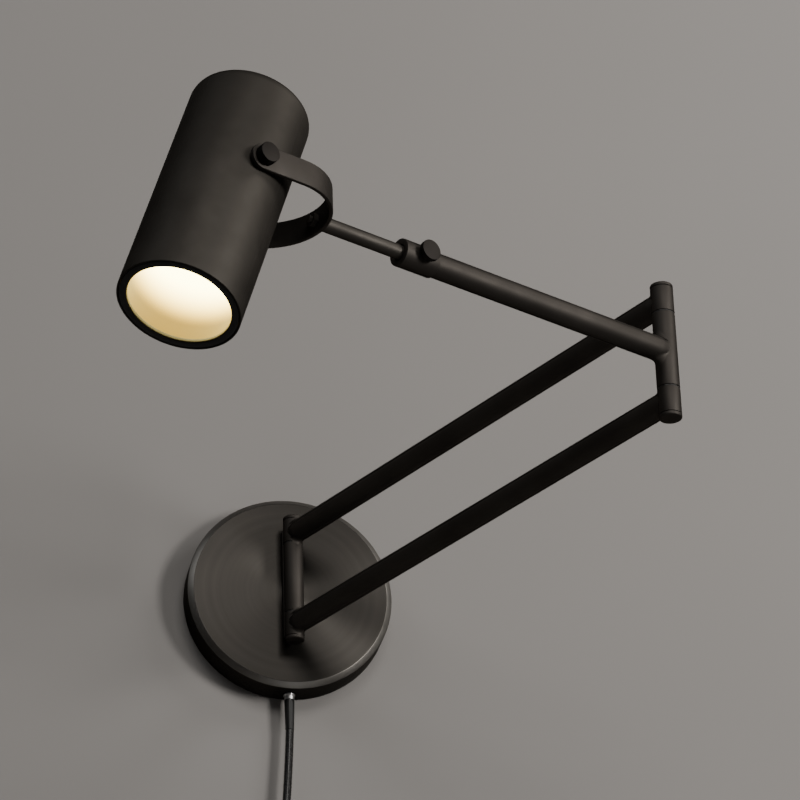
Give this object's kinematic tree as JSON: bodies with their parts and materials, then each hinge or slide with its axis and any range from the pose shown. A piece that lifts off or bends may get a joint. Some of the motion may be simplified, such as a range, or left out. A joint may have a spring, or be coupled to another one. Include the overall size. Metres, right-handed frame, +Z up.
{
  "type": "swing arm wall lamp",
  "caption": "Plug-in swing arm wall lamp: round backplate, double-rail lower arm, telescoping upper arm and a cylindrical shade tilting in a U-shaped yoke.",
  "frame": {"origin": "centre of the backplate's wall side, on the wall plane", "axes": "+Y into the wall, -Y out into the room, +X to the right, +Z up"},
  "size_m": [0.3905, 0.6232, 0.4873],
  "materials": {
    "bronze_paint": "satin dark bronze powder coat",
    "knob_paint": "satin black bronze",
    "steel": "zinc plated",
    "brass": "bright",
    "black_plastic": "matt moulded",
    "nylon": "matt",
    "reflector_white": "white enamel",
    "bulb_glass": "frosted",
    "connector": "matt moulded",
    "cord_jacket": "matt"
  },
  "bodies": {
    "backplate": {"canopy": "bronze_paint", "wall_bracket": "steel", "canopy_screw": "bronze_paint", "hinge_leaf": "bronze_paint", "hinge_screw_upper": "steel", "hinge_screw_lower": "steel", "wall_pin": "steel", "wall_washer_upper": "nylon", "wall_washer_lower": "nylon", "cord_ferrule": "steel", "ferrule_nut": "steel", "strain_relief": "black_plastic", "wire_connector_left": "connector", "wire_connector_right": "connector", "supply_lead": "cord_jacket", "lamp_lead": "cord_jacket", "cord_upper": "cord_jacket", "cord_middle": "cord_jacket", "cord_tail": "cord_jacket", "cord_coil": "cord_jacket", "cord_tie": "black_plastic", "switch_case_front": "black_plastic", "switch_case_back": "black_plastic", "plug_body": "black_plastic", "plug_blade_left": "brass", "plug_blade_right": "brass"},
    "rocker": {"switch_rocker": "black_plastic"},
    "lower_arm": {"upper_rail": "bronze_paint", "lower_rail": "bronze_paint", "wall_cap_top": "bronze_paint", "wall_cap_bottom": "bronze_paint", "elbow_cap_top": "bronze_paint", "elbow_cap_bottom": "bronze_paint", "elbow_pin": "steel", "elbow_washer_upper": "nylon", "elbow_washer_lower": "nylon"},
    "upper_arm": {"arm_tube": "bronze_paint", "clamp_collar": "bronze_paint"},
    "clamp": {"clamp_screw": "knob_paint"},
    "rod_guide": {"guide_bush": "nylon"},
    "rod_and_yoke": {"rod": "bronze_paint", "rod_stop_ring": "steel", "yoke": "bronze_paint", "yoke_nut": "bronze_paint"},
    "shade": {"shade_shell": "bronze_paint", "rim_ring": "black_plastic", "reflector": "reflector_white", "socket_shell": "black_plastic", "socket_cap": "black_plastic", "socket_nipple": "brass", "top_nut": "knob_paint", "bulb_base": "steel", "bulb_glass": "bulb_glass", "pivot_nut_near": "steel", "pivot_nut_far": "steel", "pivot_washer_near": "nylon", "pivot_washer_far": "nylon"},
    "near_knob": {"pivot_knob_near": "knob_paint"},
    "far_knob": {"pivot_knob_far": "knob_paint"}
  },
  "joints": [
    {"name": "wall_swing", "type": "hinge", "parent": "backplate", "child": "lower_arm", "pos_m": [0, -0.0371, 0.004], "axis": [0, 0, -1], "range_deg": [-46, 72]},
    {"name": "elbow_swing", "type": "hinge", "parent": "lower_arm", "child": "upper_arm", "pos_m": [0.18227, -0.40915, 0.004], "axis": [0, 0, 1], "range_deg": [-70, 222]},
    {"name": "clamp_turn", "type": "hinge", "parent": "upper_arm", "child": "clamp", "pos_m": [-0.00235, -0.50322, 0.004], "axis": [0.454, -0.891, 0], "range_deg": [0, 360]},
    {"name": "rod_slide", "type": "slide", "parent": "upper_arm", "child": "rod_guide", "axis": [-0.891, -0.454, 0], "range_m": [-0.055, 0.055]},
    {"name": "rod_twist", "type": "hinge", "parent": "rod_guide", "child": "rod_and_yoke", "pos_m": [-0.00235, -0.50322, 0.004], "axis": [-0.891, -0.454, 0], "range_deg": [-170, 170]},
    {"name": "shade_tilt", "type": "hinge", "parent": "rod_and_yoke", "child": "shade", "pos_m": [-0.13511, -0.57086, 0.004], "axis": [-0.454, 0.891, 0], "range_deg": [-64, 25]},
    {"name": "near_knob_turn", "type": "hinge", "parent": "rod_and_yoke", "child": "near_knob", "pos_m": [-0.13511, -0.57086, 0.004], "axis": [0.454, -0.891, 0], "range_deg": [0, 360]},
    {"name": "far_knob_turn", "type": "hinge", "parent": "rod_and_yoke", "child": "far_knob", "pos_m": [-0.13511, -0.57086, 0.004], "axis": [-0.454, 0.891, 0], "range_deg": [0, 360]},
    {"name": "switch_rock", "type": "hinge", "parent": "backplate", "child": "rocker", "pos_m": [-0.0045, -0.0175, -0.2044], "axis": [1, 0, 0], "range_deg": [-16, 0]}
  ]
}
